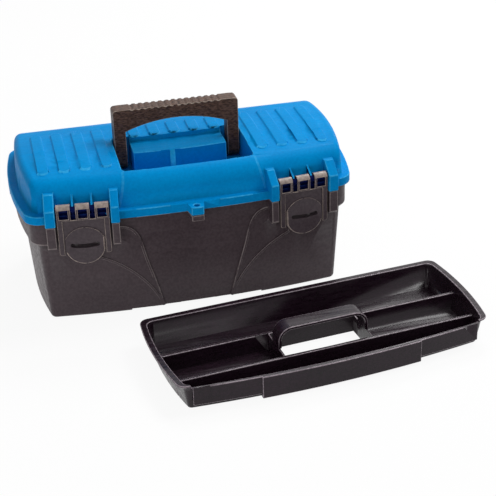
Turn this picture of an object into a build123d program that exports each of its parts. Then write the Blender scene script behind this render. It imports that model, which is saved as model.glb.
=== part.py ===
from math import asin, cos, degrees, radians, sin, sqrt, tan
import os

from build123d import *

os.makedirs("parts", exist_ok=True)

# A moulded polypropylene toolbox with a drop-in tote tray, in millimetres.
# X runs along the box, -Y is the front with the latches, Z is up.
# The origin is on the floor, under the centre of the box.

# ---------------------------------------------------------------- driving dimensions

# plan of the box over the lid's rim, bowed at the front and at both ends
rim_half_length = 203
rim_half_depth = 107.5
front_bow_radius = 1230
end_bow_radius = 450
end_bow_centre_y = 18
rim_corner_radius = 20

# heights above the floor
parting_height = 130
rim_height = 10.5
crown_height = parting_height + 48.5
ledge_height = parting_height - 24

# moulded walls
wall = 2.6
rim_wall = 2.4
floor_thickness = 2.6

# tub
tub_end_set_in = 11
tub_front_set_in = 4.9
tub_draft = 3.8
tub_foot_corner_radius = 7
inner_corner_radius = 4
foot_height = 3.5
foot_width = 13
foot_radius = 5
front_foot_half_gap = 79
band_clearance = 3.1
band_proud = 1.6
band_bottom = parting_height - 30
band_bevel = 3
band_start_from_end = 40
bay_side_step = 1.2
panel_depth = 1.4
panel_top = parting_height - 3
swoosh_raise = 1.1
swoosh_width = 3
steep_swoosh = ((88, 117), (76, 114), (61, 80), (48, 32), (41, 4))
shallow_swoosh = ((113, 80), (91, 68), (68, 48), (51, 25), (41, 4))

# lid
rim_overhang = 9
lid_draft = 3.5
crown_drop = 5
front_shoulder_radius = 20
back_shoulder_radius = 38
end_shoulder_radius = 9
inner_end_bevel = 4

# carry handle
handle_half_length = 75.4
handle_reach = 67.2
handle_depth = 18.8
handle_y = 2
handle_leg = 14.2
handle_grip_thickness = 16.4
handle_arch_rise = 11.5
handle_corner_radius = 4
handle_peg_radius = 4
handle_peg_reach = 2.2
grip_groove_count = 14
grip_groove_pitch = 8
grip_groove_radius = 3
grip_groove_depth = 0.9

# handle well in the lid
well_end_gap = 1.6
well_back_gap = 2.6
well_front_room = 12.8
well_floor = parting_height + 13.5
handle_floor_gap = 1.3
well_corner_radius = 9
well_back_corner_radius = 3
block_leg_gap = 5.2
block_front_y = handle_y - 28
block_top = crown_height - 5.5
block_front_sag = 3
block_ridge_x = -10
block_ridge_width = 6
block_ridge_proud = 1.5

# ribs on the crown
rib_pitch = 24.3
rib_width = 12
rib_height = 1.4
rib_end_room = 26
side_rib_from_well = 14.6
side_rib_front_room = 45.5
side_rib_back_room = 59.5
middle_rib_lap = 5
middle_rib_reach = 2

# latches
latch_x = rim_half_length - 74.7
latch_width = 58.6
latch_front_out = 6.2
latch_rod_z = parting_height + 18.2
latch_rod_radius = 3.4
latch_wall = 2.4
finger_width = 15.6
finger_base_z = parting_height + 7
window_width = 10.4
window_bottom = parting_height + 8.2
window_top = parting_height + 19.6
arm_width = 6
arm_raise = 1.6
arm_bottom = parting_height - 37
arm_flange_thickness = 2
arm_flange_depth = 4
tongue_width = 44
tongue_raise = 1.4
tongue_slope = 35
tongue_top = parting_height - 3
tongue_bottom = parting_height - 49
tongue_top_sag = 14
tongue_bottom_sag = 16
slot_width = 33
slot_height = 5
slot_z = parting_height - 25
slot_sag = 1.2
nose_clearance = 1
nose_reach = 12.5

# posts beside the latches
post_gap = 1.7
inner_post_width = 9.8
outer_post_width = 11.7
post_proud = 2.2
post_shoulder_z = parting_height + 20
post_shoulder_run = 16.2
post_top_z = parting_height + 34
post_bottom = parting_height - 29.5
post_step = 0.6
post_foot_rise = 3
post_foot_run = 1
rod_rib_width = 2
rod_rib_run = 12
rod_rib_set_back = 0.4
rod_rib_shoulder = 1
rod_rib_drop = 3

# padlock tab
tab_width = 20
tab_taper = 3
tab_reach = 13
tab_thickness = 7
tab_hole_radius = 3.4
tab_hole_reach = 6.5

# rear hinges
hinge_x = 110
hinge_axis_y = rim_half_depth + 5.5
hinge_pin_radius = 2.2
hinge_pin_overlap = 0.6
hinge_pin_chamfer = 0.5
knuckle_radius = 5
knuckle_length = 14
knuckle_gap = 0.5
hinge_foot_drop = 16
bracket_meet_out = 0.8
bracket_meet_down = 0.6

# running fits and parting lines
shaft_clearance = 0.1
parting_gap = 0.4

# tote tray
tray_end_clearance = 7.6
tray_half_depth = 76
tray_front_y = -77.5
tray_end_bow_radius = 380
tray_end_bow_centre_y = 15.6
tray_front_bow_radius = 1400
tray_rim_height = 32.3
tray_rim_width = 5.5
tray_rim_thickness = 2.2
tray_wall = 1.8
tray_draft = 10.2
tray_corner_radius = 10.5
tray_foot_radius = 3
tray_ledge_lap = 3.5
tray_ledge_thickness = 3
tray_low_wall_height = 29.6
tray_low_wall_from_end = 20.3
tray_panel_foot = 8
tray_panel_proud = 1.2
divider_height = 21.5
divider_top_width = 3.6
divider_draft = 4.2
rear_divider_y = 13
front_divider_y = -38.5
opening_half_length = 51
tray_handle_top = 46
tray_handle_half_length = 53
tray_handle_width = 20
tray_handle_thickness = 3.4
tray_handle_radius = 14
tray_lip_half_length = 92
tray_lip_proud = 3
tray_lip_depth = 7
tray_lip_foot = 3

# where the tray lies, on the floor in front of the box and slightly turned
tray_x = 108.2
tray_y = -rim_half_depth - 113.8
tray_turn = 6.2

# ---------------------------------------------------------------- shared geometry


def arc_drop(radius, offset):
    # how far an arc has fallen back at this offset from its apex
    return radius - sqrt(radius**2 - offset**2)


def bowed_outline(plane, half_length, half_depth, radius, front_bow, end_bow, end_centre_y):
    # a plan with a bowed front, bowed ends and a straight back, on the given plane
    front_x = half_length
    back_x = half_length - arc_drop(end_bow, half_depth - end_centre_y)
    front_y = -half_depth
    for _ in range(8):
        front_y = -half_depth + arc_drop(front_bow, front_x)
        front_x = half_length - arc_drop(end_bow, front_y - end_centre_y)
    end_y = (front_y + half_depth) / 2
    end_x = half_length - arc_drop(end_bow, end_y - end_centre_y)
    with BuildSketch(plane) as outline:
        with BuildLine():
            ThreePointArc((-front_x, front_y), (0, -half_depth), (front_x, front_y))
            ThreePointArc((front_x, front_y), (end_x, end_y), (back_x, half_depth))
            Line((back_x, half_depth), (-back_x, half_depth))
            ThreePointArc((-back_x, half_depth), (-end_x, end_y), (-front_x, front_y))
        make_face()
        if radius:
            fillet(outline.vertices(), radius)
    return outline.sketch


def box_outline(z, half_length, half_depth, radius):
    plane = Plane.XY.offset(z)
    bows = (front_bow_radius, end_bow_radius, end_bow_centre_y)
    return bowed_outline(plane, half_length, half_depth, radius, *bows)


def tub_outline(z, inset):
    # the drafted tub wall, or a face set in from it, cut at one height
    spread = z * tub_slope - inset
    radius = max(tub_foot_corner_radius + spread, inner_corner_radius)
    return box_outline(z, foot_half_length + spread, foot_half_depth + spread, radius)


def drafted(outline, z, height, angle):
    # an outline at a height above the floor, drawn up into a solid whose walls lean out by the angle
    with BuildPart() as body:
        extrude(outline, amount=height)
        draft(body.faces().filter_by(Axis.Z, reverse=True), Plane.XY.offset(z), -angle)
    return body.part


def lid_profile(plane, inset, flat, shoulder_radius):
    # half of the lid's section, on a plane whose x runs out from the middle and whose y runs up
    half_depth = rim_half_depth - rim_overhang - inset
    top = crown_height - inset
    edge_z = top - crown_drop
    edge_x = half_depth - (edge_z - parting_height) * tan(radians(lid_draft))
    with BuildSketch(plane) as profile:
        with BuildLine():
            if flat:
                Line((0, top), (flat, top))
            TangentArc((flat, top), (edge_x, edge_z), tangent=(1, 0))
            Polyline((edge_x, edge_z), (half_depth, parting_height), (0, parting_height), (0, top))
        make_face()
        fillet(profile.vertices().sort_by_distance((edge_x, edge_z, 0))[0], shoulder_radius)
    return profile.sketch


def lid_body(inset):
    # the barrel of the lid with sharp ends: its front half follows the bow and its back half runs straight
    bow_y = front_bow_radius - rim_half_depth
    half_sweep = asin(rim_half_length / bow_y)
    out = Vector(-sin(half_sweep), -cos(half_sweep), 0)
    start = Plane(origin=Vector(0, bow_y, 0) + out * bow_y, x_dir=out, z_dir=Vector(out.Y, -out.X, 0))
    flat = arc_drop(front_bow_radius, rim_half_length)
    front = lid_profile(start, inset, flat, front_shoulder_radius - inset)
    back = lid_profile(Plane.YZ, inset, 0, back_shoulder_radius - inset)
    ends = box_outline(parting_height, rim_half_length - rim_overhang - inset, 2 * rim_half_depth, 0)
    room = drafted(ends, parting_height, rim_half_depth, -lid_draft)
    with BuildPart() as body:
        revolve(front, axis=Axis((0, bow_y, 0), (0, 0, 1)), revolution_arc=degrees(2 * half_sweep))
        split(bisect_by=Plane.XZ)
        extrude(back, amount=rim_half_length, both=True)
        add(room, mode=Mode.INTERSECT)
    return body.part


def end_edges(part):
    # the edges round both ends of a lid barrel, apart from the open bottom
    end_x = rim_half_length - 2 * rim_overhang
    ends = part.faces().filter_by(lambda face: abs(face.center().X) > end_x)
    return ends.edges().filter_by(lambda edge: edge.center().Z > parting_height + 1)


def latch_origin(side):
    # where a latch's flat front meets its middle line, and how far the bowed front turns it
    turn = side * asin(latch_x / front_bow_radius)
    y = -rim_half_depth + arc_drop(front_bow_radius, latch_x) - latch_front_out
    return Vector(side * latch_x, y, 0), turn


def latch_face(side, depth=0):
    # plane of a latch's front: x along the box, y up, facing out
    origin, turn = latch_origin(side)
    along = Vector(cos(turn), sin(turn), 0)
    back = Vector(-sin(turn), cos(turn), 0)
    return Plane(origin=origin + back * depth, x_dir=along, z_dir=-back)


def latch_side(side, offset=0):
    # plane across a latch: x towards the back of the box, y up
    origin, turn = latch_origin(side)
    along = Vector(cos(turn), sin(turn), 0)
    back = Vector(-sin(turn), cos(turn), 0)
    return Plane(origin=origin + along * offset, x_dir=back, z_dir=along)


def post_places(side):
    # middle and width of the inner and the outer post beside a latch, along the latch's own line
    reach = latch_width / 2 + post_gap
    inner = -side * (reach + inner_post_width / 2)
    outer = side * (reach + outer_post_width / 2)
    return ((inner, inner_post_width), (outer, outer_post_width))


def tongue_outline(side):
    # outline of a latch's tongue, round at its top and its bottom
    half = tongue_width / 2
    top_end = tongue_top - tongue_top_sag
    bottom_end = tongue_bottom + tongue_bottom_sag
    with BuildSketch(latch_face(side)) as tongue:
        with BuildLine():
            ThreePointArc((-half, top_end), (0, tongue_top), (half, top_end))
            Line((half, top_end), (half, bottom_end))
            ThreePointArc((half, bottom_end), (0, tongue_bottom), (-half, bottom_end))
            Line((-half, bottom_end), (-half, top_end))
        make_face()
    return tongue.sketch


def tab_outline(z, root_y):
    # plan of a padlock tab, rooted in a front wall
    out_y = -rim_half_depth - tab_reach
    with BuildSketch(Plane.XY.offset(z)) as tab:
        with BuildLine():
            Polyline(
                (-tab_width / 2, root_y),
                (-tab_width / 2 + tab_taper, out_y),
                (tab_width / 2 - tab_taper, out_y),
                (tab_width / 2, root_y),
                close=True,
            )
        make_face()
    return tab.sketch


def block_outline(z, inset):
    # plan of the block that rises behind the well's front part, with a bowed front and no back of its own
    half = block_half_length - inset
    front_y = block_front_y + inset
    back_y = 2 * rim_half_depth
    with BuildSketch(Plane.XY.offset(z)) as block:
        with BuildLine():
            corner_y = front_y + block_front_sag
            Polyline((half, corner_y), (half, back_y), (-half, back_y), (-half, corner_y))
            ThreePointArc((-half, corner_y), (0, front_y), (half, corner_y))
        make_face()
    return block.sketch


tub_slope = tan(radians(tub_draft))
tub_half_length = rim_half_length - tub_end_set_in
tub_half_depth = rim_half_depth - tub_front_set_in
foot_half_length = tub_half_length - parting_height * tub_slope
foot_half_depth = tub_half_depth - parting_height * tub_slope
rim_top = parting_height + rim_height
tub_height = rim_top - rim_wall
inner_floor = foot_height + floor_thickness
band_half_length = rim_half_length - rim_wall - band_clearance
bay_half_length = band_half_length - wall
tray_half_length = bay_half_length - tray_end_clearance
finger_pitch = (latch_width - finger_width) / 2
hook_radius = latch_rod_radius + shaft_clearance + latch_wall
post_reach = 40
handle_pivot_z = well_floor + handle_floor_gap + handle_depth / 2
well_half_length = handle_half_length + well_end_gap
well_front_y = handle_y - handle_reach - well_front_room
well_back_y = handle_y + handle_depth / 2 + well_back_gap
well_middle_y = (well_front_y + well_back_y) / 2
block_half_length = handle_half_length - handle_leg - block_leg_gap
hinge_pin_half_length = 1.5 * knuckle_length + knuckle_gap + hinge_pin_overlap

# ---------------------------------------------------------------- tub

with BuildPart() as end_bands:
    # thick bands that wrap both ends above the ledge
    band_half_depth = tub_half_depth + band_proud
    band = box_outline(band_bottom, band_half_length, band_half_depth, rim_corner_radius)
    extrude(band, amount=tub_height - band_bottom)
    chamfer(end_bands.faces().sort_by(Axis.Z)[0].edges(), band_bevel)
    with BuildSketch(Plane.XY.offset(band_bottom)):
        Rectangle(2 * (rim_half_length - band_start_from_end), 4 * rim_half_depth)
    extrude(amount=parting_height, mode=Mode.SUBTRACT)

with BuildPart() as swooshes:
    # two curved beads each side that run down from the latches and meet at the foot
    with BuildSketch(Plane.XZ):
        for side in (-1, 1):
            for curve in (steep_swoosh, shallow_swoosh):
                with BuildLine() as bead:
                    Spline(*[(side * x, z) for x, z in curve])
                trace(bead.line, swoosh_width)
    extrude(amount=rim_half_depth)
    add(drafted(tub_outline(0, -swoosh_raise), 0, parting_height, tub_draft), mode=Mode.INTERSECT)

with BuildPart() as front_panel:
    # the shallow panel between the swooshes
    with BuildSketch(Plane.XZ):
        right_edge = [*reversed(steep_swoosh)]
        left_edge = [(-x, z) for x, z in steep_swoosh]
        panel_half_top = steep_swoosh[0][0]
        top_corners = ((panel_half_top, panel_top), (-panel_half_top, panel_top))
        with BuildLine():
            Spline(*right_edge)
            Polyline(right_edge[-1], *top_corners, left_edge[0])
            Spline(*left_edge)
            Polyline(left_edge[-1], (left_edge[-1][0], -1), (right_edge[0][0], -1), right_edge[0])
        make_face()
    extrude(amount=rim_half_depth)
    behind = tub_outline(-foot_height, panel_depth)
    add(drafted(behind, -foot_height, rim_top, tub_draft), mode=Mode.SUBTRACT)

with BuildPart() as base_tub:
    add(drafted(tub_outline(0, 0), 0, tub_height, tub_draft))
    fillet(base_tub.faces().sort_by(Axis.Z)[0].edges(), foot_radius)
    add(end_bands.part)
    add(front_panel.part, mode=Mode.SUBTRACT)
    add(swooshes.part)
    # posts that carry on below the lid's posts, beside each latch
    for side in (-1, 1):
        for middle, width in post_places(side):
            with BuildSketch(latch_side(side, middle)):
                with BuildLine():
                    Polyline(
                        (post_step - post_proud, parting_height - parting_gap),
                        (post_step - post_proud, post_bottom + post_foot_rise),
                        (post_step + post_foot_run, post_bottom),
                        (post_reach, post_bottom),
                        (post_reach, parting_height - parting_gap),
                        close=True,
                    )
                make_face()
            extrude(amount=width / 2 - post_step, both=True)
    # padlock tab under the lid's tab
    extrude(tab_outline(parting_height - parting_gap, -tub_half_depth + wall / 2), amount=-tab_thickness)
    # hollow: the main bay, and the wider bay above the ledge that carries the tray
    bay = drafted(tub_outline(inner_floor, wall), inner_floor, tub_height - inner_floor, tub_draft)
    add(bay, mode=Mode.SUBTRACT)
    bay_half_depth = foot_half_depth + ledge_height * tub_slope - wall - bay_side_step
    upper_bay = box_outline(ledge_height, bay_half_length, bay_half_depth, rim_corner_radius - wall)
    extrude(upper_bay, amount=tub_height - ledge_height, mode=Mode.SUBTRACT)
    # the ledge's inner lip, cut to the tray's own end curve
    lip_z = ledge_height - tray_ledge_thickness
    with BuildSketch(Plane.XY.offset(lip_z)):
        add(tub_outline(lip_z, wall / 2))
        lip_half_length = tray_half_length - tray_ledge_lap
        add(box_outline(lip_z, lip_half_length, 2 * rim_half_depth, 0), mode=Mode.SUBTRACT)
    extrude(amount=tray_ledge_thickness)
    # foot ring, open at the middle of the front
    with BuildSketch(Plane.XY):
        add(tub_outline(0, foot_width))
        with Locations((0, -foot_half_depth)):
            Rectangle(2 * front_foot_half_gap, 4 * foot_width)
    extrude(amount=foot_height, mode=Mode.SUBTRACT)
    # noses that the latches snap over
    for side in (-1, 1):
        with BuildSketch(latch_face(side, nose_clearance)):
            with Locations((0, slot_z)):
                Rectangle(slot_width - slot_height, slot_height - 2 * nose_clearance)
        extrude(amount=-nose_reach)
    # padlock hole
    with Locations((0, -rim_half_depth - tab_hole_reach, parting_height)):
        Cylinder(tab_hole_radius, 4 * tab_thickness, mode=Mode.SUBTRACT)
    # outer knuckles of both hinges, on brackets from the back wall
    bracket_root_y = tub_half_depth - wall / 2
    bracket_meet_y = hinge_axis_y + bracket_meet_out * knuckle_radius
    bracket_meet_z = parting_height - bracket_meet_down * knuckle_radius
    for side in (-1, 1):
        for end in (-1, 1):
            middle = side * hinge_x + end * (knuckle_length + knuckle_gap)
            with BuildSketch(Plane.YZ.offset(middle)):
                with Locations((hinge_axis_y, parting_height)):
                    Circle(knuckle_radius)
                with BuildLine():
                    Polyline(
                        (bracket_root_y, parting_height - parting_gap),
                        (hinge_axis_y, parting_height - parting_gap),
                        (bracket_meet_y, bracket_meet_z),
                        (bracket_root_y, parting_height - hinge_foot_drop),
                        close=True,
                    )
                make_face()
                with Locations((hinge_axis_y, parting_height)):
                    Circle(hinge_pin_radius + shaft_clearance, mode=Mode.SUBTRACT)
            extrude(amount=knuckle_length / 2, both=True)

base_tub.part.label = "base_tub"
export_step(base_tub.part, "parts/base_tub.step")

# ---------------------------------------------------------------- lid

with BuildPart() as crown_ribs:
    # raised ribs with round ends, short ones behind the handle
    side_rib_front_y = side_rib_front_room - rim_half_depth
    rib_back_y = rim_half_depth - side_rib_back_room
    first_rib_x = well_half_length + side_rib_from_well
    side_rib_count = 1 + int((rim_half_length - rib_end_room - first_rib_x) / rib_pitch)
    rib_places = []
    for side in (-1, 1):
        for count in range(side_rib_count):
            rib_places.append((side * (first_rib_x + count * rib_pitch), side_rib_front_y))
    for count in range(-middle_rib_reach, middle_rib_reach + 1):
        rib_places.append((count * rib_pitch, well_back_y - middle_rib_lap))
    with BuildSketch(Plane.XY.offset(block_top - wall)):
        for x, front_y in rib_places:
            with Locations((x, (front_y + rib_back_y) / 2)):
                SlotOverall(rib_back_y - front_y, rib_width, rotation=90)
    extrude(amount=crown_height)
    add(lid_body(-rib_height), mode=Mode.INTERSECT)

with BuildPart() as lid_posts:
    # gusseted posts beside each latch, the rod between them and its two thin supports
    for side in (-1, 1):
        for middle, width in post_places(side):
            with BuildSketch(latch_side(side, middle)):
                with BuildLine():
                    Polyline(
                        (-post_proud, parting_height),
                        (-post_proud, post_shoulder_z),
                        (post_shoulder_run - post_proud, post_top_z),
                        (post_reach, post_top_z),
                        (post_reach, parting_height),
                        close=True,
                    )
                make_face()
            extrude(amount=width / 2, both=True)
        rod_rib_shoulder_z = latch_rod_z + latch_rod_radius + rod_rib_shoulder
        for middle in (-finger_pitch / 2, finger_pitch / 2):
            with BuildSketch(latch_side(side, middle)):
                with BuildLine():
                    Polyline(
                        (hook_radius - latch_rod_radius + rod_rib_set_back, latch_rod_z),
                        (hook_radius - rod_rib_shoulder, rod_rib_shoulder_z),
                        (hook_radius + rod_rib_run, post_top_z - rod_rib_drop),
                        (post_reach, post_top_z - rod_rib_drop),
                        (post_reach, rim_top),
                        (hook_radius, rim_top),
                        close=True,
                    )
                make_face()
            extrude(amount=rod_rib_width / 2, both=True)
        with BuildSketch(latch_side(side)):
            with Locations((hook_radius, latch_rod_z)):
                Circle(latch_rod_radius)
        extrude(amount=latch_width / 2 + post_gap + 1, both=True)

with BuildPart() as lid_barrel:
    # the barrel with round shoulders at its ends
    add(lid_body(0))
    fillet(end_edges(lid_barrel), end_shoulder_radius)

with BuildPart() as lid_room:
    # the hollow inside the barrel
    add(lid_body(wall))
    chamfer(end_edges(lid_room), inner_end_bevel)

with BuildPart() as well_shell:
    # the walls and floor of the handle well, with the block hollow from below
    with BuildSketch(Plane.XY.offset(well_floor - wall)):
        with Locations((0, well_middle_y)):
            shell_depth = well_back_y - well_front_y + 2 * wall
            RectangleRounded(2 * (well_half_length + wall), shell_depth, well_corner_radius + wall)
    extrude(amount=crown_height)
    block_room = block_outline(well_floor - 2 * wall, wall)
    extrude(block_room, amount=block_top - well_floor + wall, mode=Mode.SUBTRACT)
    add(lid_barrel.part, mode=Mode.INTERSECT)

with BuildPart() as well_space:
    # the open room of the handle well, round the block
    with BuildSketch(Plane.XY.offset(well_floor)) as well_plan:
        with Locations((0, well_middle_y)):
            Rectangle(2 * well_half_length, well_back_y - well_front_y)
        fillet(well_plan.vertices().group_by(Axis.Y)[0], well_corner_radius)
        fillet(well_plan.vertices().group_by(Axis.Y)[-1], well_back_corner_radius)
        add(block_outline(well_floor, 0), mode=Mode.SUBTRACT)
        # a small upright ridge on the front of the block
        with Locations((block_ridge_x, block_front_y)):
            Rectangle(block_ridge_width, 2 * block_ridge_proud, mode=Mode.SUBTRACT)
    extrude(amount=crown_height)
    with BuildSketch(Plane.XY.offset(block_top)):
        top_back_y = well_back_y - middle_rib_lap
        with Locations((0, (well_front_y + top_back_y) / 2)):
            Rectangle(2 * (well_half_length - well_corner_radius), top_back_y - well_front_y)
    extrude(amount=crown_height)

with BuildPart() as lid:
    add(lid_barrel.part)
    add(crown_ribs.part)
    add(lid_posts.part)
    # flanged rim
    rim = box_outline(parting_height, rim_half_length, rim_half_depth, rim_corner_radius)
    extrude(rim, amount=rim_height)
    # hollow inside the barrel and under the rim's flange
    add(lid_room.part, mode=Mode.SUBTRACT)
    skirt_half_depth = rim_half_depth - rim_wall
    skirt_radius = rim_corner_radius - rim_wall
    skirt = box_outline(parting_height, rim_half_length - rim_wall, skirt_half_depth, skirt_radius)
    extrude(skirt, amount=rim_height - rim_wall, mode=Mode.SUBTRACT)
    # handle well
    add(well_shell.part)
    add(well_space.part, mode=Mode.SUBTRACT)
    # sockets for the handle's pegs
    for side in (-1, 1):
        socket_x = side * (well_half_length + wall / 2)
        with Locations(Location((socket_x, handle_y, handle_pivot_z), (0, 90, 0))):
            Cylinder(handle_peg_radius + shaft_clearance, 2 * wall, mode=Mode.SUBTRACT)
    # padlock tab
    extrude(tab_outline(parting_height, -rim_half_depth + rim_wall / 2), amount=rim_height - parting_gap)
    with Locations((0, -rim_half_depth - tab_hole_reach, parting_height)):
        Cylinder(tab_hole_radius, 4 * tab_thickness, mode=Mode.SUBTRACT)
    # middle knuckle of both hinges
    for side in (-1, 1):
        with BuildSketch(Plane.YZ.offset(side * hinge_x)):
            with Locations((hinge_axis_y, parting_height)):
                Circle(knuckle_radius)
                Rectangle(hinge_axis_y - rim_half_depth + 1, knuckle_radius, align=(Align.MAX, Align.MIN))
                Circle(hinge_pin_radius + shaft_clearance, mode=Mode.SUBTRACT)
        extrude(amount=knuckle_length / 2, both=True)

lid.part.label = "lid"
export_step(lid.part, "parts/lid.step")

# ---------------------------------------------------------------- hinge pins

for side, name in ((-1, "hinge_pin_left"), (1, "hinge_pin_right")):
    with BuildPart() as hinge_pin:
        with BuildSketch(Plane.YZ.offset(side * hinge_x)):
            with Locations((hinge_axis_y, parting_height)):
                Circle(hinge_pin_radius)
        extrude(amount=hinge_pin_half_length, both=True)
        chamfer(hinge_pin.edges(), hinge_pin_chamfer)
    hinge_pin.part.label = name
    export_step(hinge_pin.part, f"parts/{name}.step")

# ---------------------------------------------------------------- carry handle

with BuildPart() as carry_handle:
    # bail with straight legs and an arched grip
    handle_top = handle_pivot_z + handle_reach
    leg_inner = handle_half_length - handle_leg
    arch_top = handle_top - handle_grip_thickness
    arch_end = arch_top - handle_arch_rise
    with BuildSketch(Plane.XZ.offset(-handle_y)):
        with BuildLine():
            Polyline(
                (-leg_inner, arch_end),
                (-leg_inner, handle_pivot_z),
                (-handle_half_length, handle_pivot_z),
                (-handle_half_length, handle_top),
                (handle_half_length, handle_top),
                (handle_half_length, handle_pivot_z),
                (leg_inner, handle_pivot_z),
                (leg_inner, arch_end),
            )
            ThreePointArc((leg_inner, arch_end), (0, arch_top), (-leg_inner, arch_end))
        make_face()
    extrude(amount=handle_depth / 2, both=True)
    fillet(carry_handle.edges().filter_by(Axis.Y).group_by(Axis.Z)[-1], handle_corner_radius)
    # round ends of the legs and the pegs that turn in the lid
    peg_length = well_end_gap + handle_peg_reach
    for side in (-1, 1):
        leg_middle = side * (handle_half_length - handle_leg / 2)
        with Locations(Location((leg_middle, handle_y, handle_pivot_z), (0, 90, 0))):
            Cylinder(handle_depth / 2, handle_leg)
        peg_middle = side * (handle_half_length + peg_length / 2)
        with Locations(Location((peg_middle, handle_y, handle_pivot_z), (0, 90, 0))):
            Cylinder(handle_peg_radius, peg_length)
    # finger grooves across the top of the grip
    with BuildSketch(Plane.XZ.offset(-handle_y)):
        with Locations((0, handle_top + grip_groove_radius - grip_groove_depth)):
            with GridLocations(grip_groove_pitch, 1, grip_groove_count, 1):
                Circle(grip_groove_radius)
    extrude(amount=handle_depth, both=True, mode=Mode.SUBTRACT)

carry_handle.part.label = "carry_handle"
export_step(carry_handle.part, "parts/carry_handle.step")

# ---------------------------------------------------------------- latches

for side, name in ((-1, "latch_left"), (1, "latch_right")):
    with BuildPart() as latch:
        # plate with two arms
        with BuildSketch(latch_face(side)) as plate:
            with Locations((0, arm_bottom)):
                Rectangle(latch_width, latch_rod_z - arm_bottom, align=(Align.CENTER, Align.MIN))
            fillet(plate.vertices().group_by(Axis.Y)[0], arm_width / 2)
        extrude(amount=-latch_wall)
        # flanges behind the arms
        flange_foot = arm_bottom + arm_width / 2
        for end in (-1, 1):
            with BuildSketch(latch_face(side)):
                with Locations((end * (latch_width - arm_flange_thickness) / 2, flange_foot)):
                    flange_height = finger_base_z - flange_foot - 1.5 * arm_width
                    Rectangle(arm_flange_thickness, flange_height, align=(Align.CENTER, Align.MIN))
            extrude(amount=-(latch_wall + arm_flange_depth))
        # field between the arms, set back
        with BuildSketch(latch_face(side)):
            with Locations((0, finger_base_z - 1)):
                field_height = 2 * (finger_base_z - arm_bottom)
                Rectangle(latch_width - 2 * arm_width, field_height, align=(Align.CENTER, Align.MAX))
        extrude(amount=-arm_raise, mode=Mode.SUBTRACT)
        # hook round the rod
        with BuildSketch(latch_side(side)):
            with Locations((hook_radius, latch_rod_z)):
                Circle(hook_radius)
                Circle(hook_radius - latch_wall, mode=Mode.SUBTRACT)
                lower = (Align.CENTER, Align.MAX)
                Rectangle(3 * hook_radius, 3 * hook_radius, align=lower, mode=Mode.SUBTRACT)
        extrude(amount=latch_width / 2, both=True)
        # tongue, with a raised front
        extrude(tongue_outline(side), amount=-latch_wall)
        extrude(tongue_outline(side), amount=tongue_raise, taper=tongue_slope)
        # gaps between the three fingers, a window in each, and the slot
        with BuildSketch(latch_face(side)):
            for middle in (-finger_pitch / 2, finger_pitch / 2):
                with Locations((middle, finger_base_z)):
                    Rectangle(finger_pitch - finger_width, 4 * hook_radius, align=(Align.CENTER, Align.MIN))
        extrude(amount=5 * hook_radius, both=True, mode=Mode.SUBTRACT)
        with BuildSketch(latch_face(side)):
            for middle in (-finger_pitch, 0, finger_pitch):
                with Locations((middle, (window_bottom + window_top) / 2)):
                    Rectangle(window_width, window_top - window_bottom)
        extrude(amount=-hook_radius, mode=Mode.SUBTRACT)
        with BuildSketch(latch_face(side, -tongue_raise)):
            with BuildLine() as smile:
                reach = (slot_width - slot_height) / 2
                end_z = slot_z + slot_sag / 2
                ThreePointArc((-reach, end_z), (0, slot_z - slot_sag / 2), (reach, end_z))
            SlotArc(smile.edge(), slot_height)
        extrude(amount=-(latch_wall + 2 * tongue_raise), mode=Mode.SUBTRACT)
    latch.part.label = name
    export_step(latch.part, f"parts/{name}.step")

# ---------------------------------------------------------------- tray

tray_along = (cos(radians(tray_turn)), sin(radians(tray_turn)), 0)
tray_frame = Plane(origin=(tray_x, tray_y, 0), x_dir=tray_along, z_dir=(0, 0, 1))
tray_slope = tan(radians(tray_draft))


def tray_outline(z, half_length, front_y, back_y, radius):
    # plan of the tray at a height, with bowed ends and a bowed front
    middle = (front_y + back_y) / 2
    origin = tray_frame.from_local_coords(Vector(0, middle, z))
    plane = Plane(origin=origin, x_dir=tray_frame.x_dir, z_dir=tray_frame.z_dir)
    bows = (tray_front_bow_radius, tray_end_bow_radius, tray_end_bow_centre_y - middle)
    return bowed_outline(plane, half_length, (back_y - front_y) / 2, radius, *bows)


def tray_body(foot_z, inset):
    # the drafted body from a height up past the rim, or the room that its wall leaves
    set_in = (tray_rim_height - foot_z) * tray_slope + inset
    foot = tray_outline(
        foot_z,
        tray_half_length - tray_rim_width - set_in,
        tray_front_y + set_in,
        tray_half_depth - tray_rim_width - set_in,
        tray_corner_radius - set_in,
    )
    return drafted(foot, foot_z, tray_rim_height - foot_z, tray_draft)


def tray_across(x):
    # plane across the tray: x towards its back, y up
    origin = tray_frame.from_local_coords(Vector(x, 0, 0))
    return Plane(origin=origin, x_dir=tray_frame.y_dir, z_dir=tray_frame.x_dir)


def tray_lengthwise(y):
    # plane along the tray: x along it, y up, facing its front
    origin = tray_frame.from_local_coords(Vector(0, y, 0))
    return Plane(origin=origin, x_dir=tray_frame.x_dir, z_dir=-tray_frame.y_dir)


def tray_slab(half_length, z, height):
    # a block across the whole tray, to keep a part of it between two stations
    with BuildPart() as slab:
        with BuildSketch(tray_frame.offset(z)):
            Rectangle(2 * half_length, 4 * tray_half_depth)
        extrude(amount=height)
    return slab.part


divider_spread = tan(radians(divider_draft))
divider_foot_reach = divider_top_width / 2 + divider_height * divider_spread
divider_places = (front_divider_y, rear_divider_y)
middle_trough_y = (front_divider_y + rear_divider_y) / 2
middle_trough_width = rear_divider_y - front_divider_y - divider_top_width
low_wall_half_length = tray_half_length - tray_low_wall_from_end
lip_front_y = tray_front_y - tray_lip_proud
lip_height = tray_low_wall_height - tray_lip_foot

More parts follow.
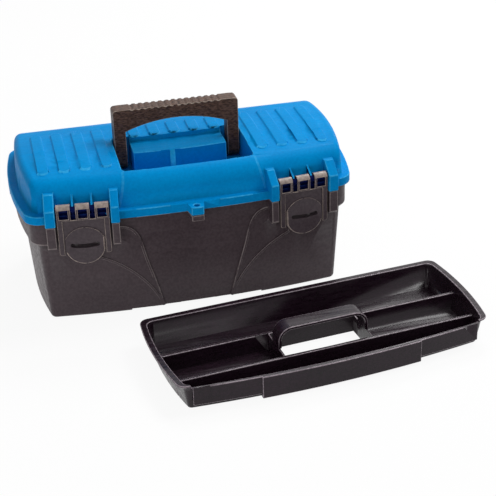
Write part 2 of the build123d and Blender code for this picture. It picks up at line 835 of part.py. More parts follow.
with BuildPart() as tray_space:
    # the room inside: three troughs between drafted dividers, and the open height above them
    with BuildSketch(tray_across(0)):
        with Locations((0, tray_wall)):
            Rectangle(4 * tray_half_depth, 2 * tray_rim_height, align=(Align.CENTER, Align.MIN))
        for y in divider_places:
            with BuildLine():
                Polyline(
                    (y - divider_foot_reach, 0),
                    (y - divider_top_width / 2, divider_height),
                    (y + divider_top_width / 2, divider_height),
                    (y + divider_foot_reach, 0),
                    close=True,
                )
            make_face(mode=Mode.SUBTRACT)
    extrude(amount=2 * tray_half_length, both=True)
    # walls that close the middle trough each side of the opening
    with BuildSketch(tray_frame):
        with Locations((0, middle_trough_y)):
            Rectangle(2 * (opening_half_length + tray_wall), rear_divider_y - front_divider_y)
    extrude(amount=divider_height, mode=Mode.SUBTRACT)
    add(tray_body(tray_wall / 2, tray_wall), mode=Mode.INTERSECT)

with BuildPart() as front_wall_panel:
    # the front wall's outer face, which stands upright in front of the drafted body
    panel_height = tray_low_wall_height - tray_panel_foot
    panel = tray_outline(tray_panel_foot, tray_half_length, tray_front_y - tray_panel_proud, 0, 0)
    extrude(panel, amount=panel_height)
    behind = tray_outline(tray_panel_foot, tray_half_length, tray_front_y + tray_wall, 0, 0)
    extrude(behind, amount=panel_height, mode=Mode.SUBTRACT)
    add(tray_slab(low_wall_half_length - tray_wall, 0, tray_rim_height), mode=Mode.INTERSECT)

with BuildPart() as front_wall_lip:
    # the front wall's broad middle lip, which stands proud and turns down outside
    lip = tray_outline(tray_lip_foot, tray_half_length, lip_front_y, 0, 0)
    extrude(lip, amount=lip_height)
    lip_back = tray_outline(tray_lip_foot, tray_half_length, lip_front_y + tray_lip_depth, 0, 0)
    extrude(lip_back, amount=lip_height, mode=Mode.SUBTRACT)
    add(tray_slab(tray_lip_half_length, 0, tray_rim_height), mode=Mode.INTERSECT)

with BuildPart() as tote_tray:
    add(tray_body(0, 0))
    fillet(tote_tray.faces().sort_by(Axis.Z)[0].edges(), tray_foot_radius)
    # rim along the ends and the back
    rim_bottom = tray_rim_height - tray_rim_thickness
    tray_rim = tray_outline(rim_bottom, tray_half_length, tray_front_y, tray_half_depth, tray_corner_radius)
    extrude(tray_rim, amount=tray_rim_thickness)
    add(front_wall_panel.part)
    add(front_wall_lip.part)
    add(tray_space.part, mode=Mode.SUBTRACT)
    # the front wall is lower than the rim
    with BuildSketch(tray_frame.offset(tray_low_wall_height)):
        with Locations((0, tray_front_y)):
            Rectangle(2 * low_wall_half_length, 4 * tray_lip_depth)
    extrude(amount=tray_rim_height, mode=Mode.SUBTRACT)
    # bridge handle across the middle
    with BuildSketch(tray_lengthwise(middle_trough_y)):
        leg_x = tray_handle_half_length - tray_handle_thickness / 2
        bridge_z = tray_handle_top - tray_handle_thickness / 2
        with BuildLine() as bridge_line:
            corners = ((-leg_x, 0), (-leg_x, bridge_z), (leg_x, bridge_z), (leg_x, 0))
            FilletPolyline(*corners, radius=tray_handle_radius)
        trace(bridge_line.line, tray_handle_thickness)
    extrude(amount=tray_handle_width / 2, both=True)
    # hand opening through the middle trough
    with BuildSketch(tray_frame):
        with Locations((0, middle_trough_y)):
            Rectangle(2 * opening_half_length, middle_trough_width)
    extrude(amount=divider_height, mode=Mode.SUBTRACT)
    # grooves under the dividers, open below
    with BuildSketch(tray_across(0)):
        for y in divider_places:
            with BuildLine():
                Polyline(
                    (y - divider_foot_reach + tray_wall, 0),
                    (y, divider_height - tray_wall),
                    (y + divider_foot_reach - tray_wall, 0),
                    close=True,
                )
            make_face()
    extrude(amount=2 * tray_half_length, both=True, mode=Mode.SUBTRACT)

tote_tray.part.label = "tote_tray"
export_step(tote_tray.part, "parts/tote_tray.step")
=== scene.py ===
import math

import bmesh
import bpy
from mathutils import Matrix, Vector


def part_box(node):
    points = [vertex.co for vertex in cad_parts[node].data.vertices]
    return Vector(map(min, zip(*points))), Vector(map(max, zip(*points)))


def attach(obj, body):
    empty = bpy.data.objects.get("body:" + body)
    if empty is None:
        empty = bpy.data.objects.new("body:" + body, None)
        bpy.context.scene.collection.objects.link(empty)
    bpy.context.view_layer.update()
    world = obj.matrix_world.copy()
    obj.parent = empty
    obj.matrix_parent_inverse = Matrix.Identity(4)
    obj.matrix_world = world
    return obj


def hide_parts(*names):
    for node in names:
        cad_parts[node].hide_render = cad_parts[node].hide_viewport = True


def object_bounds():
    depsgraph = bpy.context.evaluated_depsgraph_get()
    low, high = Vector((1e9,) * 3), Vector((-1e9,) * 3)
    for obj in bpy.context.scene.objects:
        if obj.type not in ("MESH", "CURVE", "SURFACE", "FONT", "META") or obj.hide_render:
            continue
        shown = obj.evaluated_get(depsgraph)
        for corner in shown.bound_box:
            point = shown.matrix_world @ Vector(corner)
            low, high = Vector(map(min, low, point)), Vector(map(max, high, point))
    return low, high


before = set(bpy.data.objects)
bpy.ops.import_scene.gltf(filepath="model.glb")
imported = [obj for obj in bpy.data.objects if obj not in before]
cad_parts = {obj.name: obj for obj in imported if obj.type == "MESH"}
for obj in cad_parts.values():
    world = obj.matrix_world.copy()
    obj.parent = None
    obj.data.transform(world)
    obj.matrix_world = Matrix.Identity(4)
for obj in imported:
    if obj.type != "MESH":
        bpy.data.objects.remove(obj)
cadLow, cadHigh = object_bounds()
scene = bpy.context.scene
scene.view_settings.view_transform = "Standard"
mm = 0.001
print("frame loaded:", len(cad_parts), "nodes")


# an sRGB hex colour as the linear values that Blender mixes
def linear(hexColour):
    channels = [int(hexColour[i:i + 2], 16) / 255 for i in (1, 3, 5)]
    return [c / 12.92 if c <= 0.04045 else ((c + 0.055) / 1.055) ** 2.4 for c in channels] + [1.0]


# One node with its settings and its links. An input goes by its name, or by i and its number where names
# repeat, and "stops" are a ramp's places and colours.
def addNode(tree, kind, settings=None, **inputs):
    node = tree.nodes.new("ShaderNode" + kind)
    for name, value in (settings or {}).items():
        if name == "stops":
            while len(node.color_ramp.elements) < len(value):
                node.color_ramp.elements.new(0.5)
            for element, (position, colour) in zip(node.color_ramp.elements, value):
                element.position = position
                element.color = linear(colour)
        else:
            setattr(node, name, value)
    for name, value in inputs.items():
        socket = node.inputs[int(name[1:]) if name[1:].isdigit() else name.replace("_", " ")]
        if isinstance(value, bpy.types.NodeSocket):
            tree.links.new(value, socket)
        else:
            socket.default_value = value
    return node


def startMaterial(name):
    material = bpy.data.materials.new(name)
    material.use_nodes = True
    tree = material.node_tree
    return material, tree, tree.nodes["Principled BSDF"]


# Injection-moulded polypropylene. The steel mould is spark-eroded, which leaves a fine even pebble
# in the surface; the melt leaves soft clouds in the colour; edges get a pale painted highlight that also
# stands for wear, in patches; the broad faces carry faint hairline scuffs that only show in the gloss.
def mouldedPlastic(name, look):
    material, tree, shader = startMaterial(name)
    shader.inputs["IOR"].default_value = look["ior"]
    shader.inputs["Specular IOR Level"].default_value = look["specular"]
    place = addNode(tree, "TexCoord").outputs["Object"]

    # clouds in the melt, with flecks over them
    low, high = look["cloudSpan"]
    clouds = addNode(tree, "TexNoise", Vector=place, Scale=1 / (look["cloudMm"] * mm), Detail=4.0)
    body = addNode(tree, "ValToRGB", {"stops": [(low, look["deep"]), (high, look["main"])]},
                   Fac=clouds.outputs["Fac"])
    low, high = look["mottleSpan"]
    grain = addNode(tree, "Mapping", Vector=place, Scale=look["grainStretch"]).outputs[0]
    mottle = addNode(tree, "TexNoise", Vector=grain, Scale=1 / (look["mottleMm"] * mm), Detail=3.0)
    flecks = addNode(tree, "ValToRGB", {"stops": [(low, look["dark"]), (high, look["pale"])]},
                     Fac=mottle.outputs["Fac"])
    body = addNode(tree, "Mix", {"data_type": "RGBA"}, i0=look["mottle"], i6=body.outputs[0],
                   i7=flecks.outputs[0])

    # painted highlight on edges and marked faces, paler in patches like wear
    low, high = look["highlightPatchSpan"]
    edge = addNode(tree, "Attribute", {"attribute_name": "edgeBand"})
    highlightPatchNoise = addNode(tree, "TexNoise", Vector=place, Scale=1 / (look["highlightPatchMm"] * mm), Detail=2.0)
    patches = addNode(tree, "MapRange", Value=highlightPatchNoise.outputs["Fac"], From_Min=low, From_Max=high,
                      To_Min=look["highlightAndWearRange"][0], To_Max=look["highlightAndWearRange"][1])
    highlightShare = addNode(tree, "Math", {"operation": "MULTIPLY"}, i0=edge.outputs["Fac"], i1=patches.outputs[0])
    colour = addNode(tree, "Mix", {"data_type": "RGBA"}, i0=highlightShare.outputs[0], i6=body.outputs[2],
                     i7=linear(look["highlightAndWear"]))
    tree.links.new(colour.outputs[2], shader.inputs["Base Color"])

    # scuffs in the gloss
    low, high = look["scuffSpan"]
    scratched = addNode(tree, "Mapping", Vector=place, Rotation=look["scuffTurn"], Scale=look["scuffStretch"])
    scuffs = addNode(tree, "TexNoise", Vector=scratched.outputs[0], Scale=1 / (look["scuffMm"] * mm),
                     Detail=2.0)
    gloss = addNode(tree, "MapRange", Value=scuffs.outputs["Fac"], From_Min=low, From_Max=high,
                    To_Min=look["gloss"][0], To_Max=look["gloss"][1])
    tree.links.new(gloss.outputs[0], shader.inputs["Roughness"])

    # the mould's pebble
    pebble = addNode(tree, "TexVoronoi", Vector=grain, Scale=1 / (look["pebbleMm"] * mm))
    bump = addNode(tree, "Bump", Strength=look["pebbleStrength"], Distance=look["pebbleDepthMm"] * mm,
                   Height=pebble.outputs["Distance"])
    tree.links.new(bump.outputs["Normal"], shader.inputs["Normal"])
    return material


# Cyan-blue masterbatch polypropylene from an evenly eroded mould: clean and satin, the brightest part of
# the box. The real pebble is about 0.2 mm; it is drawn at 0.9 mm so that it shows at all.
# the pale edge colour in each look is a painted highlight with wear
lidLook = {"main": "#008ed3", "deep": "#0085ca", "dark": "#007dc1", "pale": "#0099de", "highlightAndWear": "#52c6f5",
           "ior": 1.49, "specular": 0.02,
           "cloudMm": 80, "cloudSpan": (0.35, 0.65),
           "mottleMm": 3, "mottleSpan": (0.36, 0.62), "mottle": 0.25,
           "highlightPatchMm": 4, "highlightPatchSpan": (0.35, 0.65), "highlightAndWearRange": (0.2, 0.5),
           "scuffMm": 60, "scuffSpan": (0.4, 0.62), "scuffTurn": (0.3, 0.9, 0.5), "scuffStretch": (1, 14, 14),
           "gloss": (0.34, 0.46),
           "pebbleMm": 0.9, "pebbleStrength": 0.25, "pebbleDepthMm": 0.05, "grainStretch": (1, 1, 1)}
# Polypropylene with carbon black and a warm tint, from the same kind of mould: a matt dark grey-brown
# whose edges get a pale painted highlight and wear.
tubLook = {**lidLook, "main": "#473b40", "deep": "#3b3035", "dark": "#33282d", "pale": "#53474c",
           "highlightAndWear": "#8f8483", "specular": 0.3, "mottle": 0.35, "highlightAndWearRange": (0.5, 0.9), "gloss": (0.38, 0.52),
           "pebbleStrength": 0.35}
# The same compound from polished tooling: satin latches with a pale painted highlight on the edges.
latchLook = {**tubLook, "main": "#453b41", "deep": "#3a3036", "highlightAndWear": "#b5a59b", "highlightAndWearRange": (0.5, 0.95),
             "gloss": (0.3, 0.42)}
# Black polypropylene with a smooth, nearly glossy mould finish, as trays have so that they wipe clean.
trayLook = {**tubLook, "main": "#20121c", "deep": "#180e15", "dark": "#11090f", "pale": "#2d1c29",
            "highlightAndWear": "#a1949c", "specular": 0.28, "gloss": (0.22, 0.34), "pebbleStrength": 0.15,
            "highlightAndWearRange": (0.5, 0.95)}
# Brown-black polypropylene from a mould etched with a leather grain, streaked along the grip where hands
# have worn it. The real grain is about 1 mm; it is drawn at 1.6 mm so that it shows.
handleLook = {**tubLook, "main": "#4a3329", "deep": "#35231c", "dark": "#231612", "pale": "#705445",
              "highlightAndWear": "#a09184", "specular": 0.16, "mottle": 0.6, "mottleMm": 2.2, "pebbleMm": 1.6,
              "pebbleStrength": 0.7, "pebbleDepthMm": 0.2, "grainStretch": (0.6, 1, 1.6), "highlightAndWearRange": (0.5, 0.95)}
# The lid's own plastic on the rod that a latch's hooks turn on, and in the pocket behind it, painted
# a deep blue: painted shade for the shadow behind the latch.
rodShadeLook = {**lidLook, "main": "#101b55", "deep": "#0b123f", "dark": "#080d30", "pale": "#16266a",
           "highlightAndWear": "#1c3f8c"}

lidPlastic = mouldedPlastic("cyanMouldedPolypropylene", lidLook)
tubPlastic = mouldedPlastic("graphiteMouldedPolypropylene", tubLook)
latchPlastic = mouldedPlastic("graphiteSatinPolypropylene", latchLook)
trayPlastic = mouldedPlastic("blackGlossPolypropylene", trayLook)
handlePlastic = mouldedPlastic("brownGrainedPolypropylene", handleLook)
rodShadePaint = mouldedPlastic("lidPolypropyleneInPaintedShade", rodShadeLook)

# Zinc-plated steel wire, drawn, cut and tumbled: bright, slightly blue, with the die's lines along it.
# The real lines are finer; they are drawn 0.25 mm apart so that they show.
pinLook = {"zinc": "#c3c8cc", "dull": "#9da3a8", "drawnMm": 0.25, "drawnStretch": (0.05, 1, 1),
           "span": (0.3, 0.7), "gloss": (0.22, 0.38)}
pinSteel, pinTree, pinShader = startMaterial("zincPlatedSteel")
pinShader.inputs["Metallic"].default_value = 1.0
pinLow, pinHigh = pinLook["span"]
pinPlace = addNode(pinTree, "TexCoord").outputs["Object"]
drawn = addNode(pinTree, "Mapping", Vector=pinPlace, Scale=pinLook["drawnStretch"]).outputs[0]
lines = addNode(pinTree, "TexNoise", Vector=drawn, Scale=1 / (pinLook["drawnMm"] * mm),
                Detail=2.0).outputs["Fac"]
zinc = addNode(pinTree, "ValToRGB", {"stops": [(pinLow, pinLook["dull"]), (pinHigh, pinLook["zinc"])]},
               Fac=lines)
pinTree.links.new(zinc.outputs[0], pinShader.inputs["Base Color"])
pinGloss = addNode(pinTree, "MapRange", Value=lines, From_Min=pinLow, From_Max=pinHigh,
                   To_Min=pinLook["gloss"][1], To_Max=pinLook["gloss"][0])
pinTree.links.new(pinGloss.outputs[0], pinShader.inputs["Roughness"])
print("materials made:", len(bpy.data.materials))

# Single pieces are reshaped on the merged copy of their CAD node. Lengths and places are in mm; a highlight
# share is how much painted highlight its faces get, from 0 to 1; facing and tilt are parts of a face's normal.

ribs = {"wallTall": 4, "crownFrom": 162, "keepWithin": 186, "uprightTilt": 0.03, "upFacing": 0.5,
        "frontFacing": -0.3, "leastRise": 0.3, "slopeRun": 1.5, "raise": 0.9, "wellHalfWidth": 60,
        "tipHighlight": 0.9}


# slopes the ribs' upright sides and lifts their tops, so that they rise softly out of the barrel; their
# front tips get a painted highlight
def slopeRibs(shape, edgeBand):
    ribSide = shape.faces.layers.int.new("ribSide")
    shape.normal_update()
    corners, walls = {}, []
    for face in shape.faces:
        heights = [v.co.z for v in face.verts]
        middle = face.calc_center_median()
        upright = abs(face.normal.z) < ribs["uprightTilt"]
        short = max(heights) - min(heights) < ribs["wallTall"] * mm
        onCrown = middle.z > ribs["crownFrom"] * mm and abs(middle.x) < ribs["keepWithin"] * mm
        if upright and short and onCrown:
            walls.append(face)
            face[ribSide] = 1
            for v in face.verts:
                corners.setdefault((round(v.co.x, 5), round(v.co.y, 5)), []).append((v, face.normal.copy()))
    feet = {min((v for v, _ in found), key=lambda v: v.co.z): found for found in corners.values()}

    def upwardBeside(edge):
        return [f for f in edge.link_faces if not f[ribSide] and f.normal.z > ribs["upFacing"]]

    tops, queue = [], []
    for wall in walls:
        for edge in wall.edges:
            if not any(v in feet for v in edge.verts):
                queue += upwardBeside(edge)
    while queue:
        face = queue.pop()
        if not face[ribSide]:
            face[ribSide] = 1
            tops.append(face)
            for edge in face.edges:
                queue += upwardBeside(edge)
    for foot, found in feet.items():
        ground = [f.normal for f in foot.link_faces if not f[ribSide] and f.normal.z > ribs["upFacing"]]
        rise = max(v.co.z for v, _ in found) - foot.co.z
        push = Vector((sum(n.x for _, n in found), sum(n.y for _, n in found), 0)).normalized()
        # the middle ribs' tips stand at the well's edge, with no room for a slope
        atWell = abs(foot.co.x) < ribs["wellHalfWidth"] * mm and push.y < ribs["frontFacing"]
        if ground and rise > ribs["leastRise"] * mm and not atWell:
            normal = max(ground, key=lambda n: n.z)
            push.z = -(normal.x * push.x + normal.y * push.y) / normal.z
            foot.co += push * ribs["slopeRun"] * mm
    for v in {v for face in tops for v in face.verts}:
        v.co.z += ribs["raise"] * mm
    # painted highlight: the ribs' front tips get the pale edge colour, standing in for light catching them
    for face in walls:
        if face.normal.y < ribs["frontFacing"]:
            face[edgeBand] = ribs["tipHighlight"]
    print("rib walls:", len(walls), "rib tops:", len(tops))


ridge = {"middleX": -10, "reach": 3.6, "frontY": -38, "backY": -22, "fromZ": 150, "topFacing": 0.5, "highlightShare": 0.45}


# painted highlight on the small upright ridge on the front of the block in the well
def highlightRidge(shape, edgeBand):
    for face in shape.faces:
        middle = face.calc_center_median() / mm
        across = abs(middle.x - ridge["middleX"]) < ridge["reach"]
        onRidge = across and ridge["frontY"] < middle.y < ridge["backY"] and middle.z > ridge["fromZ"]
        if onRidge and face.normal.z < ridge["topFacing"]:
            face[edgeBand] = ridge["highlightShare"]


apron = {"topX": 79, "footX": 86.5, "topZ": 173, "footZ": 141, "slopeRun": 3, "raise": 1.0, "frontY": -60,
         "facing": -0.15, "reach": 140, "slack": 0.02, "highlightShare": 0.45}


# raises the barrel's front a little between the inner posts, with a soft crease at each end;
# the creases' slopes get a painted highlight
def raiseApron(shape, edgeBand):
    down = Vector((apron["footX"] - apron["topX"], 0, apron["footZ"] - apron["topZ"])).normalized()

    def frontFaces():
        middles = [(f, f.calc_center_median() / mm) for f in shape.faces if f.normal.y < apron["facing"]]
        return [f for f, m in middles
                if m.y < apron["frontY"] and m.z > apron["footZ"] and abs(m.x) < apron["reach"]]

    # 0 at the apron's end and 1 where it has its full height
    def shareAt(v):
        drop = (v.co.z / mm - apron["topZ"]) / (apron["footZ"] - apron["topZ"])
        halfWidth = apron["topX"] + (apron["footX"] - apron["topX"]) * drop
        return (halfWidth - abs(v.co.x) / mm) * -down.z / apron["slopeRun"]

    for side in (-1, 1):
        inward = Vector((down.z * side, 0, -down.x))
        for run in (0, apron["slopeRun"]):
            front = frontFaces()
            around = list({part for f in front for part in [*f.verts, *f.edges]}) + front
            start = Vector((side * apron["topX"], 0, apron["topZ"])) * mm + inward * run * mm
            bmesh.ops.bisect_plane(shape, geom=around, plane_co=start, plane_no=inward,
                                   dist=softening["cutMm"] * mm)
    shape.normal_update()
    lift = {}
    for face in frontFaces():
        shares = [shareAt(v) for v in face.verts]
        for v, share in zip(face.verts, shares):
            if share > apron["slack"]:
                lift[v] = lift.get(v, Vector()) + face.normal * face.calc_area() * min(1, share)
        # painted highlight on the faces of the creases' slopes
        if min(shares) > -apron["slack"] and max(shares) < 1 + apron["slack"]:
            face[edgeBand] = apron["highlightShare"]
    moves = {v: push.normalized() * min(1, shareAt(v)) * apron["raise"] * mm for v, push in lift.items()}
    for v, move in moves.items():
        v.co += move
    print("apron corners raised:", len(moves))


def reshapeLid(shape, edgeBand):
    slopeRibs(shape, edgeBand)
    highlightRidge(shape, edgeBand)
    raiseApron(shape, edgeBand)


pocket = {"axisX": 127.7, "axisY": -101.1, "bow": 0.105, "rodZ": 148.2, "rodRadius": 3.8, "fromX": 99,
          "toX": 157, "lowZ": 126, "frontY": -112, "backY": -86}


# the rod that a latch's hooks turn on, and the pocket behind it, which get the painted shade
def inRodShade(face):
    middle = face.calc_center_median() / mm
    bowDrop = (abs(middle.x) - pocket["axisX"]) * pocket["bow"]
    radial = math.hypot(middle.y - pocket["axisY"] - bowDrop, middle.z - pocket["rodZ"])
    within = pocket["fromX"] < abs(middle.x) < pocket["toX"]
    below = pocket["lowZ"] < middle.z < pocket["rodZ"]
    behind = below and pocket["frontY"] < middle.y - bowDrop < pocket["backY"]
    return within and (radial < pocket["rodRadius"] or behind)


noses = {"middleX": 128.3, "halfWidth": 17, "lowZ": 101.5, "highZ": 108.5, "before": -103, "pushBack": 5,
         "slotMarginX": 1, "slotMarginZ": 2}


# sets the tub's noses back, so that each latch's slot reads as a dark opening
def sinkNoses(shape, edgeBand):
    moved = 0
    for v in shape.verts:
        x, y, z = v.co / mm
        near = abs(abs(x) - noses["middleX"]) < noses["halfWidth"] and noses["lowZ"] < z < noses["highZ"]
        if near and y < noses["before"]:
            v.co.y += noses["pushBack"] * mm
            moved += 1
    print("nose corners moved:", moved)


# the slots of the latches keep crisp edges, so that they stay dark
def inSlot(edge):
    x, y, z = (edge.verts[0].co + edge.verts[1].co) / 2 / mm
    marginX, marginZ = noses["slotMarginX"], noses["slotMarginZ"]
    inPlate = y < noses["before"] and noses["lowZ"] - marginZ < z < noses["highZ"] + marginZ
    return inPlate and abs(abs(x) - noses["middleX"]) < noses["halfWidth"] + marginX


tongue = {"middleX": 128.3, "middleZ": 105, "radius": 24, "plateY": -106.7, "bow": 0.105, "proud": 0.3,
          "fadeFrom": 103, "fadeRun": 17}
fingers = {"topFrom": 149, "facing": 0.25, "highlightShare": 0.85}


# lets the upper half of a latch's round tongue die away into the plate above it, and paints a highlight
# on the fingers' tops
def fadeTongue(shape, edgeBand):
    for v in shape.verts:
        x, y, z = abs(v.co.x) / mm - tongue["middleX"], v.co.y / mm, v.co.z / mm
        stand = tongue["plateY"] + x * tongue["bow"] - y
        onTongue = math.hypot(x, z - tongue["middleZ"]) < tongue["radius"] and z > tongue["fadeFrom"]
        if onTongue and stand > tongue["proud"]:
            v.co.y += stand * min(1, (z - tongue["fadeFrom"]) / tongue["fadeRun"]) * mm
    shape.normal_update()
    for face in shape.faces:
        if face.calc_center_median().z > fingers["topFrom"] * mm and face.normal.z > fingers["facing"]:
            face[edgeBand] = fingers["highlightShare"]  # a painted highlight on the fingers' tops


# how every piece's edges are softened: wide edges first, then the ones with less room beside them
softening = {"mergeMm": 0.005, "cutMm": 0.01, "flatDegrees": 0.3, "sharpDegrees": 26, "straightOn": -0.8,
             "spare": 1.1, "shares": (1.0, 0.5, 0.25), "segments": 2, "highlightShare": 1.0, "ribHighlight": 0.1,
             "smoothDegrees": 40, "normalWeight": 50}


# the width free beside an edge: half the shortest neighbour that doesn't carry straight on
def room(edge):
    least = 1.0
    for v in edge.verts:
        along = (edge.other_vert(v).co - v.co).normalized()
        for other in v.link_edges:
            if other is not edge:
                away = other.other_vert(v).co - v.co
                lean = along.dot(away.normalized())
                if lean > softening["straightOn"]:
                    least = min(least, away.length * math.sqrt(max(0, 1 - lean * lean)) / 2)
    return least


# a sharp outer edge of the moulding, away from the faces that a reshape has marked
def isSharp(edge, edgeBand):
    if len(edge.link_faces) != 2 or not edge.is_convex or any(f[edgeBand] for f in edge.link_faces):
        return False
    return edge.calc_face_angle() > math.radians(softening["sharpDegrees"])


# a moulded piece with softened edges, standing for its CAD node
def softened(row):
    node = row["node"]
    piece = bpy.data.objects.new(row["name"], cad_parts[node].data.copy())
    scene.collection.objects.link(piece)
    shape = bmesh.new()
    shape.from_mesh(piece.data)
    bmesh.ops.remove_doubles(shape, verts=shape.verts, dist=softening["mergeMm"] * mm)
    edgeBand = shape.faces.layers.float.new("edgeBand")
    if "reshape" in row:
        row["reshape"](shape, edgeBand)

    # ring-shaped faces stay cut in quarters, so that no slit is left in one when flat faces are joined
    low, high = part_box(node)
    cuts = set()
    for normal in ((1, 0, 0), (0, 1, 0)):
        geometry = [*shape.verts, *shape.edges, *shape.faces]
        made = bmesh.ops.bisect_plane(shape, geom=geometry, plane_co=(Vector(low) + Vector(high)) / 2,
                                      plane_no=normal, dist=softening["cutMm"] * mm)
        cuts |= {e for e in made["geom_cut"] if isinstance(e, bmesh.types.BMEdge)}
    bmesh.ops.dissolve_limit(shape, angle_limit=math.radians(softening["flatDegrees"]), verts=shape.verts,
                             edges=[e for e in shape.edges if e not in cuts])

    ribSide = shape.faces.layers.int.get("ribSide")
    for share in softening["shares"]:
        width = row["edgeMm"] * share * mm
        sharp = [e for e in shape.edges if isSharp(e, edgeBand)]
        sharp = [e for e in sharp if room(e) > width * softening["spare"] and not inSlot(e)]
        made = bmesh.ops.bevel(shape, geom=sharp, affect="EDGES", offset=width, offset_type="OFFSET",
                               segments=softening["segments"], profile=0.5, material=-1,
                               clamp_overlap=False)
        # the new bevel faces get the painted highlight and wear colour, those beside the ribs only a little
        for face in made["faces"]:
            besideRib = ribSide and any(f[ribSide] for e in face.edges for f in e.link_faces)
            face[edgeBand] = softening["ribHighlight"] if besideRib else softening["highlightShare"]
        print("  edges of", round(row["edgeMm"] * share, 2), "mm:", len(sharp))

    piece.data.materials.clear()
    piece.data.materials.append(row["material"])
    # painted shade: the rod and the pocket behind each latch get the deep blue material
    if "shadeMaterial" in row:
        for face in shape.faces:
            face.material_index = 1 if inRodShade(face) else 0
        print("rod faces", sum(f.material_index for f in shape.faces))
        piece.data.materials.append(row["shadeMaterial"])
    shape.to_mesh(piece.data)
    shape.free()
    piece.data.shade_smooth()
    piece.data.set_sharp_from_angle(angle=math.radians(softening["smoothDegrees"]))
    weigh = piece.modifiers.new("weighFaces", "WEIGHTED_NORMAL")
    weigh.keep_sharp = True
    weigh.mode = "FACE_AREA_WITH_ANGLE"
    weigh.weight = softening["normalWeight"]
    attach(piece, row["body"])
    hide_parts(node)
    print(row["name"], len(piece.data.polygons), "faces")


tub = {"node": "base_tub", "body": "base", "name": "tub", "slot": "tub_plastic", "material": tubPlastic,
       "edgeMm": 0.9, "reshape": sinkNoses}
barrelLid = {"node": "lid", "body": "lid", "name": "barrelLid", "slot": "lid_plastic", "material": lidPlastic,
             "shadeMaterial": rodShadePaint, "edgeMm": 1.1, "reshape": reshapeLid}
carryHandle = {"node": "carry_handle", "body": "handle", "name": "carryHandle", "slot": "handle_plastic",
               "material": handlePlastic, "edgeMm": 0.9}
latchLeft = {"node": "latch_left", "body": "latch_left", "name": "latchLeft", "slot": "latch_plastic",
             "material": latchPlastic, "edgeMm": 0.5, "reshape": fadeTongue}
latchRight = {**latchLeft, "node": "latch_right", "body": "latch_right", "name": "latchRight"}
toteTray = {"node": "tote_tray", "body": "tray", "name": "toteTray", "slot": "tray_plastic",
            "material": trayPlastic, "edgeMm": 0.8}
for row in (tub, barrelLid, carryHandle, latchLeft, latchRight, toteTray):
    softened(row)
for node in ("hinge_pin_left", "hinge_pin_right"):  # the pins' CAD shape is right as it is
    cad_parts[node].data.materials.clear()
    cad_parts[node].data.materials.append(pinSteel)


# how much of a ray is shown the plain white: camera rays, reflections and clear plastics
def whiteShare(tree):
    path = addNode(tree, "LightPath").outputs
    seen = addNode(tree, "Math", {"operation": "MAXIMUM"}, i0=path["Is Camera Ray"], i1=path["Is Glossy Ray"])
    return addNode(tree, "Math", {"operation": "MAXIMUM"}, i0=seen.outputs[0],
                   i1=path["Is Transmission Ray"]).outputs[0]


# Matt pale paint, rolled on: it takes the object's soft shadow and is otherwise shown nearly white.
floorLook = {"paint": "#f4f4f4", "shown": 0.92, "halfSize": 6.0, "gapMm": 0.2}
floorShape = bmesh.new()
bmesh.ops.create_grid(floorShape, x_segments=1, y_segments=1, size=floorLook["halfSize"])
floorMesh = bpy.data.meshes.new("floor")
floorShape.to_mesh(floorMesh)
floorShape.free()
floor = bpy.data.objects.new("floor", floorMesh)
floor.location.z = cadLow.z - floorLook["gapMm"] * mm
scene.collection.objects.link(floor)
floorPaint = bpy.data.materials.new("paleStudioFloor")
floorPaint.use_nodes = True
floorTree = floorPaint.node_tree
floorTree.nodes.clear()
shown = addNode(floorTree, "Math", {"operation": "MULTIPLY"}, i0=whiteShare(floorTree), i1=floorLook["shown"])
matt = addNode(floorTree, "BsdfDiffuse", Color=linear(floorLook["paint"]))
glow = addNode(floorTree, "Emission", Color=linear("#ffffff"), Strength=1.0)
floorMix = addNode(floorTree, "MixShader", i0=shown.outputs[0], i1=matt.outputs[0], i2=glow.outputs[0])
addNode(floorTree, "OutputMaterial", Surface=floorMix.outputs[0])
floorMesh.materials.append(floorPaint)

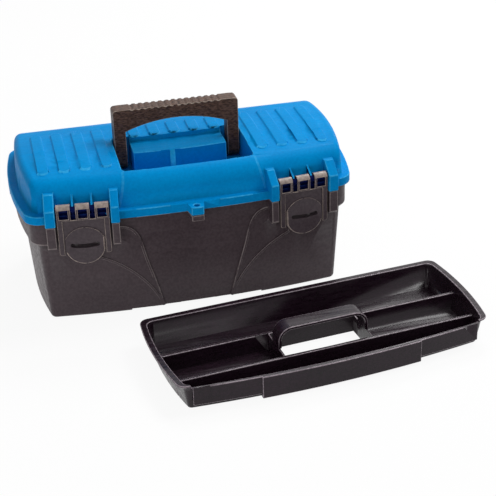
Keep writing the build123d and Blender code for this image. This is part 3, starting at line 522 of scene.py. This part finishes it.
worldLook = {"light": "#ffffff", "strength": 0.28}
world = bpy.data.worlds.new("studioWorld")
scene.world = world
world.use_nodes = True
worldTree = world.node_tree
worldTree.nodes.clear()
soft = addNode(worldTree, "Background", Color=linear(worldLook["light"]), Strength=worldLook["strength"])
white = addNode(worldTree, "Background", Color=linear("#ffffff"), Strength=1.0)
worldMix = addNode(worldTree, "MixShader", i0=whiteShare(worldTree), i1=soft.outputs[0], i2=white.outputs[0])
addNode(worldTree, "OutputWorld", Surface=worldMix.outputs[0])

lampTarget = (0.05, -0.08, 0.1)
lamps = [
    {"name": "keySoftbox", "place": (1.3, 0.1, 1.9), "size": 0.9, "power": 24},
    {"name": "backSoftbox", "place": (0.75, 1.3, 2.0), "size": 1.0, "power": 26},
    {"name": "fillSoftbox", "place": (-0.7, -1.0, 0.35), "size": 0.6, "power": 2.0},
    {"name": "frontSoftbox", "place": (0.2, -1.5, 2.0), "size": 1.0, "power": 4},
]
for row in lamps:
    lamp = bpy.data.lights.new(row["name"], "AREA")
    lamp.shape = "DISK"
    lamp.size = row["size"]
    lamp.energy = row["power"]
    holder = bpy.data.objects.new(row["name"], lamp)
    holder.location = row["place"]
    aim = Vector(lampTarget) - Vector(row["place"])
    holder.rotation_euler = aim.to_track_quat("-Z", "Y").to_euler()
    scene.collection.objects.link(holder)

view = {"azimuth": -12.96, "elevation": 25.82, "roll": -1.68, "distance": 1.5137,
        "target": (0.0835, -0.012, 0.1015), "lens": 89.2, "shift": -0.1196}
turn, rise = math.radians(view["azimuth"]), math.radians(view["elevation"])
back = Vector((math.sin(turn) * math.cos(rise), -math.cos(turn) * math.cos(rise), math.sin(rise)))
camera = bpy.data.objects.new("camera", bpy.data.cameras.new("camera"))
camera.data.lens = view["lens"]
camera.data.shift_y = view["shift"]
camera.location = Vector(view["target"]) + back * view["distance"]
facing = (-back).to_track_quat("-Z", "Y").to_matrix().to_4x4()
camera.rotation_euler = (facing @ Matrix.Rotation(math.radians(view["roll"]), 4, "Z")).to_euler()
scene.collection.objects.link(camera)
scene.camera = camera
print("stage, lamps and camera set")
